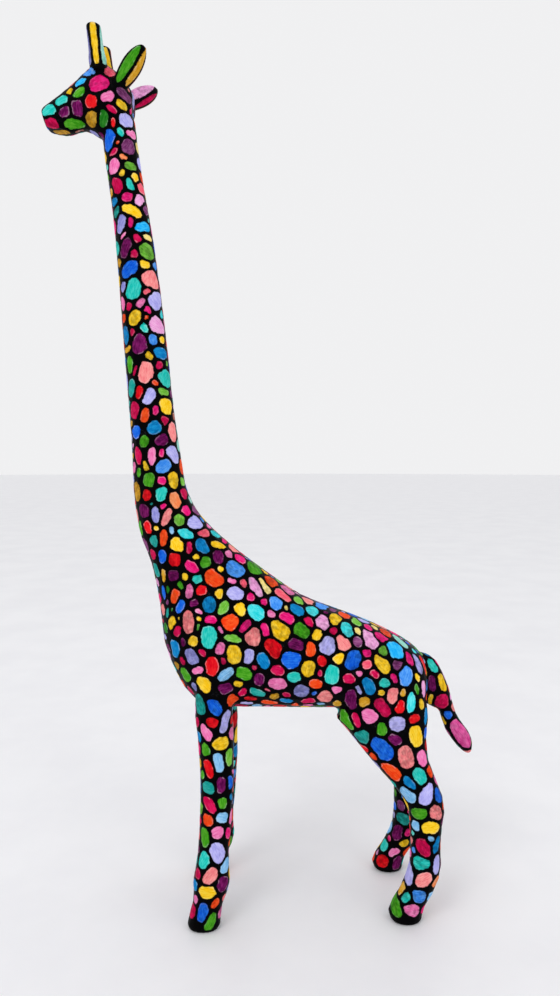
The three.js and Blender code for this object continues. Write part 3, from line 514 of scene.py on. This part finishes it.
class Dot:
    """A painted dot: an uneven oval on the skin."""

    def __init__(self, centre, normal, along, half_length, half_width, colour, rng):
        self.centre = np.array(centre)
        self.normal = np.array(normal)
        along = np.array(along) - self.normal * np.dot(along, self.normal)
        self.along = along / np.linalg.norm(along)
        self.across = np.cross(self.normal, self.along)
        self.half_length = half_length
        self.half_width = half_width
        self.colour = colour
        self.swell = SWELL_PLACED if colour else SWELL_FREE
        self.fullness = rng.uniform(*FULLNESS)
        self.egg = (rng.uniform(*EGG), rng.uniform(0, math.tau))
        self.corners = (rng.uniform(*THREE_CORNERS), rng.uniform(0, math.tau))
        self.tone = rng.random()

    def set_outline(self, fullness, egg):
        """Gives the dot a regular outline in place of its random one."""
        self.fullness = fullness
        self.egg = (egg, 0.0)
        self.corners = (0.0, 0.0)

    def local(self, points):
        """Distances along and across the dot, stretched so that they follow a curved skin."""
        offset = points - self.centre
        u = offset @ self.along
        v = offset @ self.across
        flat = np.sqrt(u * u + v * v) + 1e-6
        stretch = np.linalg.norm(offset, axis=1) / flat
        return u * stretch, v * stretch

    def outside(self, points):
        """How far each point lies outside the dot's own oval; negative inside it."""
        u, v = self.local(points)
        power = self.fullness
        part_u = np.abs(u) / self.half_length + 1e-4
        part_v = np.abs(v) / self.half_width + 1e-4
        level = (part_u ** power + part_v ** power) ** (1 / power)
        slope = level ** (1 - power) * np.hypot(
            part_u ** (power - 1) / self.half_length, part_v ** (power - 1) / self.half_width)
        turn = np.arctan2(v, u)
        uneven = (1 + self.egg[0] * np.cos(turn + self.egg[1])
                  + self.corners[0] * np.cos(3 * turn + self.corners[1]))
        return (level - 1 / uneven) / slope


class NearbyPoints:
    """Finds the points near a place, from a grid of cells."""

    def __init__(self, points, cell):
        self.cell = cell
        keys = np.floor(points / cell).astype(int)
        order = np.lexsort((keys[:, 2], keys[:, 1], keys[:, 0]))
        ordered = keys[order]
        breaks = np.flatnonzero(np.any(np.diff(ordered, axis=0), axis=1)) + 1
        groups = np.split(order, breaks)
        self.groups = {tuple(keys[group[0]]): group for group in groups}

    def near(self, place, reach):
        low = np.floor((place - reach) / self.cell).astype(int)
        high = np.floor((place + reach) / self.cell).astype(int)
        found = [self.groups[key] for key in
                 ((i, j, k) for i in range(low[0], high[0] + 1)
                  for j in range(low[1], high[1] + 1) for k in range(low[2], high[2] + 1))
                 if key in self.groups]
        return np.concatenate(found) if found else np.empty(0, int)


def placed_dots(skin, table, choose, rng, seen=(0, 2)):
    """Dots from a table, on the chosen vertices. Their size allows for the slope of the skin.

    seen gives the two axes that the table is drawn in: the side view, or (0, 1) for the underside.
    """
    dots = []
    chosen = np.flatnonzero(choose)
    right, up = seen
    away = 3 - right - up
    for first, second, half_length, half_width, angle, colour in table:
        offset = skin.points[chosen][:, [right, up]] - (first, second)
        distance = np.linalg.norm(offset, axis=1)
        close = distance < max(CLOSE, distance.min() + 0.01)
        nearest_layer = skin.points[chosen[close], away].min() + OUTER_LAYER
        outermost = skin.points[chosen, away] < nearest_layer
        vertex = chosen[np.argmin(np.where(close & outermost, distance, np.inf))]
        normal = skin.normals[vertex]
        turn = math.radians(angle)
        facing = max(abs(normal[away]), STEEPEST)
        long_way = (math.cos(turn), math.sin(turn))
        wide_way = (-math.sin(turn), math.cos(turn))
        slopes = [(way[0] * normal[right] + way[1] * normal[up]) / facing
                  for way in (long_way, wide_way)]
        along = np.zeros(3)
        along[[right, up]] = long_way
        along[away] = -slopes[0] * math.copysign(1, normal[away])
        dots.append(Dot(
            skin.points[vertex], normal, along,
            half_length * math.hypot(1, slopes[0]), half_width * math.hypot(1, slopes[1]),
            colour, rng))
    return dots


def on_surface(points, place):
    return points[np.argmin(np.linalg.norm(points - place, axis=1))]


def horn_dots(skin, name, rng):
    """Long stripes round a horn."""
    points = skin.points[skin.part == CARVED.index(name)]
    top, foot = points[:, 2].max(), points[:, 2].max() - HORN_STRIPED
    upper = points[points[:, 2] > top - 4].mean(axis=0)
    lower = points[np.abs(points[:, 2] - foot) < 2].mean(axis=0)
    along = (upper - lower) / np.linalg.norm(upper - lower)
    middle = lower + along * STRIPE_MIDDLE
    dots = []
    for turn, half_width, colour in HORN_STRIPES[name]:
        facing = np.array([math.cos(math.radians(turn)), math.sin(math.radians(turn)), 0.0])
        facing -= along * np.dot(facing, along)
        facing /= np.linalg.norm(facing)
        dot = Dot(on_surface(points, middle + facing * HORN_RADIUS), facing, along,
                  STRIPE_HALF_LENGTH, half_width, colour, rng)
        dot.set_outline(fullness=3.4, egg=0.10)
        dots.append(dot)
    return dots


def ear_dots(skin, name, side, rng):
    """The panels on both faces of an ear; side is -1 on the left."""
    points = skin.points[skin.part == CARVED.index(name)]
    middle = points.mean(axis=0)
    _, _, axes = np.linalg.svd(points - middle, full_matrices=False)
    long_way = axes[0] * np.sign(axes[0][2])
    broad_way = axes[1] * np.sign(axes[1][2] - axes[1][0])
    face_way = axes[2] * np.sign(axes[2][1] * side)
    dots = []
    for face, broad, at_long, at_broad, at_face, half_length, half_width, colour in EAR_PANELS:
        normal = face_way * face + broad_way * broad
        normal /= np.linalg.norm(normal)
        centre = on_surface(
            points, middle + long_way * at_long + broad_way * at_broad + face_way * at_face)
        dot = Dot(centre, normal, long_way, half_length, half_width, colour, rng)
        dot.set_outline(fullness=2.0, egg=0.0)
        dots.append(dot)
    return dots


def size_factor(height):
    """How large a free dot may be at a height, as a share of its full size."""
    return next((share for above, share in SMALLER_ABOVE if height > above), 1.0)


def flow_direction(point, normal, rng):
    """The way a free dot points: mostly along the neck and limbs, any way on the trunk."""
    on_trunk = TRUNK_HEIGHTS[0] <= point[2] <= TRUNK_HEIGHTS[1]
    spread = TRUNK_SPREAD if on_trunk else LIMB_SPREAD
    turn = math.radians(90 + rng.uniform(-spread, spread))
    level = np.array([-normal[1], normal[0], 0.0])
    if np.linalg.norm(level) < 0.2:
        level = np.array([1.0, 0.0, 0.0])
    level -= normal * np.dot(level, normal)
    level /= np.linalg.norm(level)
    rise = np.cross(normal, level)
    return level * math.cos(turn) + rise * math.sin(turn)


def open_sites(skin, rng):
    """Places where a free dot may go, the way each one faces, and the room left at each."""
    sites = np.array(rng.sample(range(len(skin.points)), len(skin.points) // SITE_STEP))
    places = skin.points[sites]
    closed = places[:, 2] < 3 * SOLE_HEIGHT
    closed |= np.isin(skin.part[sites], skin.parts("ear", "ossicone"))
    return places, skin.normals[sites], np.where(closed, -1.0, MUCH_ROOM)


def choose_site(room, still_open, rng):
    """A site with about the room that a dot of a random size needs, and the most it may be."""
    _, smallest, largest = rng.choices(SIZES, [size[0] for size in SIZES])[0]
    target = rng.uniform(smallest, largest)
    for _ in range(4):
        fits = still_open[np.abs(room[still_open] - target * 1.02 - LINE) < 0.45]
        if len(fits):
            break
        target *= 0.72
    if not len(fits):
        fits = still_open
    return fits[rng.randrange(len(fits))], largest


def fill_with_dots(skin, dots, rng):
    """Adds free dots one by one beside those already there, until no room is left."""
    places, facings, room = open_sites(skin, rng)
    least = LINE + np.where(facings[:, 1] < -0.4, SMALLEST_ON_LEFT, SMALLEST_DOT)

    def take_room(dot):
        same_side = facings @ dot.normal > -0.1
        close = np.linalg.norm(places - dot.centre, axis=1) < MUCH_ROOM + 10
        pick = np.flatnonzero(same_side & close)
        room[pick] = np.minimum(room[pick], dot.outside(places[pick]))

    for dot in dots:
        take_room(dot)
    while True:
        still_open = np.flatnonzero(room >= least)
        if not len(still_open):
            return
        site, largest = choose_site(room, still_open, rng)
        radius = min(room[site] - LINE, largest) * 1.04
        radius = min(radius, largest * size_factor(places[site][2]))
        stretch = rng.uniform(*STRETCH)
        along = flow_direction(places[site], facings[site], rng)
        dot = Dot(places[site], facings[site], along, radius * stretch, radius / stretch ** 0.6,
                  None, rng)
        dots.append(dot)
        take_room(dot)


def choose_colours(dots, rng):
    """Gives each free dot a colour that none of its close neighbours has."""
    centres = np.array([dot.centre for dot in dots])
    names = list(SHARES)
    for dot in dots:
        if dot.colour:
            continue
        near = np.flatnonzero(np.linalg.norm(centres - dot.centre, axis=1) < SAME_COLOUR_GAP)
        used = {dots[n].colour for n in near}
        free = [name for name in names if name not in used] or names
        dot.colour = rng.choices(free, [SHARES[name] for name in free])[0]


def paint_layout(skin, rng):
    """All the dots of the statue: those with a known place first, then the free ones."""
    left_side = (skin.normals[:, 1] < -0.05) & (skin.points[:, 1] < 3)
    plain_left = left_side & ~np.isin(skin.part, skin.parts("ear", "ossicone"))
    jaw = (skin.part == CARVED.index("head")) & (skin.normals[:, 2] < -0.45)
    inner_right = (skin.part == CARVED.index("hind_leg_right")) & (skin.normals[:, 1] < -0.2)
    dots = []
    for name in HORN_STRIPES:
        dots += horn_dots(skin, name, rng)
    dots += ear_dots(skin, "ear_left", -1, rng)
    dots += ear_dots(skin, "ear_right", 1, rng)
    for table in (HEAD_DOTS, NECK_DOTS, TRUNK_DOTS, FRONT_LEG_DOTS, HIND_LEG_DOTS, TAIL_DOTS):
        dots += placed_dots(skin, table, plain_left, rng)
    dots += placed_dots(skin, FAR_LEG_DOTS, inner_right, rng)
    dots += placed_dots(skin, JAW_DOTS, jaw, rng, seen=(0, 1))
    fill_with_dots(skin, dots, rng)
    choose_colours(dots, rng)
    return dots


# ---- paint on the skin ----

def linear(colour):
    """A screen colour turned into the linear light that the renderer works in."""
    return [((c + 0.055) / 1.055) ** 2.4 if c > 0.04045 else c / 12.92 for c in colour]


def reach_of_dots(skin, dots):
    """The vertices near each dot and how far outside it they are, and each vertex's own dot."""
    nearby = NearbyPoints(skin.points, SEARCH_CELL)
    nearest = np.full(len(skin.points), 1e3)
    owner = np.zeros(len(skin.points), int)
    reached = []
    for number, dot in enumerate(dots):
        found = nearby.near(dot.centre, max(dot.half_length, dot.half_width) * 1.3 + 7)
        found = found[skin.normals[found] @ dot.normal > -0.15]
        outside = dot.outside(skin.points[found])
        reached.append((found, outside))
        closer = outside < nearest[found]
        nearest[found[closer]] = outside[closer]
        owner[found[closer]] = number
    return reached, nearest, owner


def depth_in_dots(skin, dots, reached, nearest, owner):
    """How far each vertex lies inside its dot, as neighbours press on it; negative on the black."""
    swell = np.array([dot.swell for dot in dots])[owner]
    press = np.exp(-np.clip(swell - nearest, -8, 60) / CORNER)
    for number, (found, outside) in enumerate(reached):
        other = owner[found] != number
        found, outside = found[other], outside[other]
        room = (outside - nearest[found] - LINE) / 2
        press[found] += np.exp(-np.clip(room, -8, 30) / CORNER)
    depth = np.clip(-CORNER * np.log(press), NO_DOT, 9.0)
    shake = slow_noise(skin.points, SHAKE_PITCH)
    shake[np.isin(skin.part, skin.parts("ear", "ossicone"))] *= STEADY_SHAKE
    return np.minimum(depth + SHAKE * shake, skin.points[:, 2] - SOLE_HEIGHT)


class Paint:
    """What each skin vertex carries: depth inside its dot, colours, and the dot's own axes."""

    def __init__(self, skin, dots):
        reached, nearest, owner = reach_of_dots(skin, dots)
        self.depth = depth_in_dots(skin, dots, reached, nearest, owner)
        self.base = np.array([linear(PAINTS[dot.colour][0]) for dot in dots])[owner]
        self.streak = np.array([linear(PAINTS[dot.colour][1]) for dot in dots])[owner]
        self.tone = np.array([dot.tone for dot in dots])[owner]
        self.local = np.zeros((len(skin.points), 3))
        for number, (found, _) in enumerate(reached):
            mine = found[owner[found] == number]
            u, v = dots[number].local(skin.points[mine])
            self.local[mine] = np.stack([u, v, np.full(len(mine), 40 * dots[number].tone)], 1)


def raise_paint(skin, paint):
    """Lifts the paint of each dot a little above the black."""
    lift = PAINT_DEPTH * np.clip((paint.depth + 0.3) / 0.9, 0.0, 1.0)
    skin.points = skin.points + skin.normals * lift[:, None]


# ---- materials ----

class Nodes:
    """A short way to build a node tree: each call adds a node and returns its output."""

    def __init__(self, name):
        self.material = bpy.data.materials.new(name)
        self.material.use_nodes = True
        self.tree = self.material.node_tree
        self.shader = self.tree.nodes["Principled BSDF"]
        self.place = self.add("ShaderNodeTexCoord", output="Object")

    def add(self, kind, inputs=(), output=0, **settings):
        node = self.tree.nodes.new(kind)
        for key, value in settings.items():
            setattr(node, key, value)
        for socket, value in dict(inputs).items():
            self.feed(node.inputs[socket], value)
        return node.outputs[output]

    def feed(self, socket, value):
        if isinstance(value, bpy.types.NodeSocket):
            self.tree.links.new(value, socket)
        else:
            socket.default_value = value

    def plus(self, first, second):
        return self.add("ShaderNodeMath", {0: first, 1: second}, operation="ADD")

    def times(self, first, second):
        return self.add("ShaderNodeMath", {0: first, 1: second}, operation="MULTIPLY")

    def stretched(self, vector, factors):
        return self.add("ShaderNodeVectorMath", {0: vector, 1: factors}, operation="MULTIPLY")

    def ramp(self, value, low, high, to_low=0.0, to_high=1.0):
        return self.add("ShaderNodeMapRange", {0: value, 1: low, 2: high, 3: to_low, 4: to_high},
                        interpolation_type="SMOOTHSTEP")

    def between(self, share, first, second):
        """A plain value between two others."""
        return self.add("ShaderNodeMix", {0: share, 2: first, 3: second}, data_type="FLOAT")

    def mix(self, share, first, second, blend="MIX"):
        return self.add("ShaderNodeMix", {0: share, 6: first, 7: second}, output=2,
                        data_type="RGBA", blend_type=blend)

    def noise(self, vector, scale, detail=2.0, roughness=0.5):
        return self.add("ShaderNodeTexNoise", {
            "Vector": vector, "Scale": scale, "Detail": detail, "Roughness": roughness})

    def attribute(self, name, output):
        return self.add("ShaderNodeAttribute", output=output, attribute_name=name)

    def finish(self, colour, roughness, height, bump_distance):
        """Joins colour, roughness and surface relief to the shader."""
        inputs = self.shader.inputs
        self.feed(inputs["Base Color"], colour)
        self.feed(inputs["Roughness"], roughness)
        self.feed(inputs["Normal"], self.add("ShaderNodeBump", {
            "Height": height, "Distance": bump_distance, "Strength": 1.0}))
        return self.material


def dot_colour(n, edge, local, brush):
    """Brushed paint: streaks, thin places where the black shows, and a painted highlight along the
    rim here and there.
    """
    base = n.attribute("dot_base", "Color")
    streak = n.attribute("dot_streak", "Color")
    tone = n.attribute("dot_tone", "Fac")
    blotch = n.noise(local, 0.22)
    dabs = n.ramp(n.plus(brush, n.times(blotch, 0.6)), 0.62, 1.05)
    colour = n.mix(dabs, base, streak)

    mottle = n.ramp(n.noise(n.place, 330.0, 1.5), 0.34, 0.62, 0.62, 1.06)
    thin = n.times(n.ramp(brush, 0.28, 0.44, 0.82, 1.0),
                   n.between(n.ramp(tone, 0.1, 0.75), mottle, 1.0))
    thin = n.times(thin, n.ramp(edge, 0.0, 0.7, 0.66, 1.0))
    thin = n.times(thin, n.ramp(tone, 0.0, 1.0, 0.86, 1.06))
    shade = n.add("ShaderNodeCombineColor", {0: thin, 1: thin, 2: thin})
    colour = n.mix(1.0, colour, shade, blend="MULTIPLY")

    # Painted highlight: a pale glint along the raised rim of a dot, only in some patches.
    rim = n.times(n.ramp(edge, 0.1, 0.35), n.ramp(edge, 0.95, 0.4))
    glint_patches = n.ramp(n.noise(n.place, 210.0), 0.50, 0.60)
    pale = n.mix(0.45, streak, (1.0, 1.0, 1.0, 1.0))
    return n.mix(n.times(n.times(rim, glint_patches), n.times(tone, 0.55)), colour, pale)


def black_colour(n):
    """Black paint with a few faint grey patches in it."""
    grey_patches = n.ramp(n.noise(n.place, 130.0, 4.0, 0.65), 0.56, 0.80)
    grain = n.ramp(n.noise(n.place, 1500.0, 2.0, 0.6), 0.45, 0.7)
    return n.mix(n.times(n.times(grey_patches, grain), 0.22), (0.0008, 0.0008, 0.0011, 1.0),
                 (0.10, 0.105, 0.14, 1.0))


def painted_wood():
    """Satin black paint over carved wood, with hand-brushed dots under a thin varnish."""
    n = Nodes("painted_dots")
    local = n.attribute("dot_local", "Vector")
    brush = n.noise(n.stretched(local, (0.22, 1.15, 1.0)), 1.3, 3.0, 0.6)
    ragged = n.plus(n.times(n.noise(n.place, 900.0), 0.6), -0.3)
    edge = n.plus(n.attribute("dot_depth", "Fac"), ragged)
    inside = n.ramp(edge, -0.07, 0.10)

    gloss = n.ramp(n.noise(n.place, 220.0, 3.0), 0.3, 0.7, 0.30, 0.42)
    matte = n.ramp(brush, 0.3, 0.7, 0.36, 0.50)
    ridge = n.times(n.ramp(edge, 0.0, 0.28), n.ramp(edge, 0.8, 0.3))
    height = n.plus(n.times(inside, 0.8), n.times(ridge, 0.35))
    height = n.plus(height, n.times(n.times(brush, inside), 0.55))
    height = n.plus(height, n.times(n.noise(n.place, 420.0, 3.0), 0.30))
    n.shader.inputs["IOR"].default_value = 1.45
    n.shader.inputs["Specular IOR Level"].default_value = 0.025
    colour = n.mix(inside, black_colour(n), dot_colour(n, edge, local, brush))
    return n.finish(colour, n.between(inside, gloss, matte), height, PAINT_DEPTH / MM)


def bare_wood():
    """Turned dowel wood: pale growth rings drawn out along the dowel, with open pores."""
    n = Nodes("dowel_wood")
    grain = n.stretched(n.place, (260.0, 260.0, 22.0))
    rings = n.noise(grain, 1.0, 4.0, 0.6)
    pores = n.noise(grain, 6.0)
    pale, dark, pore = (0.56, 0.36, 0.19, 1.0), (0.30, 0.16, 0.07, 1.0), (0.12, 0.06, 0.03, 1.0)
    colour = n.mix(n.ramp(rings, 0.35, 0.7), pale, dark)
    colour = n.mix(n.ramp(pores, 0.62, 0.72, 0.0, 0.5), colour, pore)
    return n.finish(colour, n.ramp(rings, 0.3, 0.7, 0.55, 0.75), pores, 0.0001)


def floor_paint():
    """A plain pale floor with the faintest mottling."""
    n = Nodes("pale_floor")
    cloud = n.noise(n.place, 9.0, 4.0, 0.6)
    n.feed(n.shader.inputs["Base Color"],
           n.mix(n.ramp(cloud, 0.3, 0.7), (0.86, 0.86, 0.885, 1.0), (0.90, 0.90, 0.92, 1.0)))
    n.shader.inputs["Roughness"].default_value = 0.5
    return n.material


# ---- pieces ----

def set_attribute(mesh, name, kind, values):
    attribute = mesh.attributes.new(name, kind, "POINT")
    field = {"FLOAT": "value", "FLOAT_VECTOR": "vector", "FLOAT_COLOR": "color"}[kind]
    attribute.data.foreach_set(field, np.ascontiguousarray(values, np.float32).ravel())


def border_loops(faces):
    """The closed chains of edges that only one face uses, in face order."""
    used = {(face[k - 1], face[k]) for face in faces for k in range(len(face))}
    following = {}
    for first, second in sorted(used):
        if (second, first) not in used:
            following.setdefault(first, []).append(second)
    loops = []
    for start in list(following):
        while following[start]:
            loop, at = [start], following[start].pop()
            while at != start:
                loop.append(at)
                at = following[at].pop()
            loops.append(loop)
    return loops


def close_ends(points, faces):
    """The middle of each open end, and the fan of triangles that closes it."""
    middles, caps = [], []
    for loop in border_loops(faces):
        centre = len(points) + len(middles)
        middles.append(points[loop].mean(axis=0))
        caps += [(loop[(k + 1) % len(loop)], loop[k], centre) for k in range(len(loop))]
    return middles, caps


def carved_piece(name, skin, paint, face_part, normals, material):
    """One closed piece of the skin, carrying its paint, in place of a CAD node."""
    quads = skin.quads[face_part == CARVED.index(name)]
    kept, renumbered = np.unique(quads, return_inverse=True)
    faces = renumbered.reshape(-1, 4).tolist()
    points = skin.points[kept]
    middles, caps = close_ends(points, faces)
    if middles:
        points = np.concatenate([points, middles])

    def carried(values, fill=0.0):
        """The values of this piece's vertices, with a filling for the middles of its ends."""
        rows = values[kept]
        return np.concatenate([rows, np.full((len(middles),) + rows.shape[1:], fill)])

    def opaque(colours):
        return np.concatenate([colours, np.ones((len(colours), 1))], axis=1)

    mesh = bpy.data.meshes.new(name + "_skin")
    mesh.from_pydata((points / MM).tolist(), [], faces + caps)
    set_attribute(mesh, "dot_depth", "FLOAT", carried(paint.depth, NO_DOT))
    set_attribute(mesh, "dot_tone", "FLOAT", carried(paint.tone))
    set_attribute(mesh, "dot_local", "FLOAT_VECTOR", carried(paint.local))
    set_attribute(mesh, "dot_base", "FLOAT_COLOR", opaque(carried(paint.base)))
    set_attribute(mesh, "dot_streak", "FLOAT_COLOR", opaque(carried(paint.streak)))
    mesh.polygons.foreach_set("use_smooth", [True] * len(mesh.polygons))
    mesh.update()
    mesh.normals_split_custom_set_from_vertices(
        np.concatenate([normals[kept], np.tile([0.0, 0.0, 1.0], (len(middles), 1))]).tolist())
    mesh.materials.append(material)
    piece = bpy.data.objects.new(name + "_painted", mesh)
    bpy.context.scene.collection.objects.link(piece)
    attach(piece, "root")
    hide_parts(name)


def build_statue():
    rng = random.Random(SEED)
    skin = Skin()
    paint = Paint(skin, paint_layout(skin, rng))
    raise_paint(skin, paint)
    normals = vertex_normals(skin.points, skin.quads)
    face_part = skin.part[skin.quads[:, 0]]
    material = painted_wood()
    for name in CARVED:
        carved_piece(name, skin, paint, face_part, normals, material)
    wood = bare_wood()
    for name in DOWELS:
        node = frame["nodes"][name]
        node.data.materials.clear()
        node.data.materials.append(wood)


# ---- studio ----

CAMERA_PLACE = (-0.0044, -0.5163, 0.3186)
CAMERA_YAW = 1.71        # degrees towards the tail
CAMERA_PITCH = 3.35      # degrees down
CAMERA_LENS = 26.57
FLOOR_RADIUS = 12.0
FLOOR_CORNERS = 96
FLOOR_GAP = 0.0002       # keeps the floor's face clear of the soles
SKY_COLOUR = (0.95, 0.95, 0.96, 1.0)
SKY_STRENGTH = 0.92
LIT_POINT = (0, 0, 0.3)  # where the lights are aimed
LIGHT_SIZE = 1.0
LIGHTS = {"key": ((-0.9, -1.3, 1.9), 9), "fill": ((1.4, -1.2, 0.9), 3)}  # place, power


def build_camera():
    camera = bpy.data.objects.new("camera", bpy.data.cameras.new("camera"))
    camera.data.lens = CAMERA_LENS
    camera.data.sensor_width = 36.0
    camera.data.clip_start = 0.01
    camera.location = CAMERA_PLACE
    camera.rotation_euler = (math.radians(90 - CAMERA_PITCH), 0.0, math.radians(-CAMERA_YAW))
    bpy.context.scene.collection.objects.link(camera)
    bpy.context.scene.camera = camera


def build_floor():
    turns = [math.tau * k / FLOOR_CORNERS for k in range(FLOOR_CORNERS)]
    rim = [(FLOOR_RADIUS * math.cos(turn), FLOOR_RADIUS * math.sin(turn), 0.0) for turn in turns]
    mesh = bpy.data.meshes.new("floor")
    mesh.from_pydata(rim, [], [range(FLOOR_CORNERS)])
    floor = bpy.data.objects.new("floor", mesh)
    floor.location.z = -FLOOR_GAP
    mesh.materials.append(floor_paint())
    bpy.context.scene.collection.objects.link(floor)


def build_light():
    world = bpy.data.worlds.new("studio")
    world.use_nodes = True
    sky = world.node_tree.nodes["Background"]
    sky.inputs["Color"].default_value = SKY_COLOUR
    sky.inputs["Strength"].default_value = SKY_STRENGTH
    bpy.context.scene.view_settings.view_transform = "Standard"
    bpy.context.scene.world = world
    for name, (place, power) in LIGHTS.items():
        light = bpy.data.lights.new(name, "AREA")
        light.shape = "DISK"
        light.size = LIGHT_SIZE
        light.energy = power
        lamp = bpy.data.objects.new(name, light)
        lamp.location = place
        aim = Vector(LIT_POINT) - Vector(place)
        lamp.rotation_euler = aim.to_track_quat("-Z", "Y").to_euler()
        bpy.context.scene.collection.objects.link(lamp)


build_camera()
build_statue()
build_floor()
build_light()
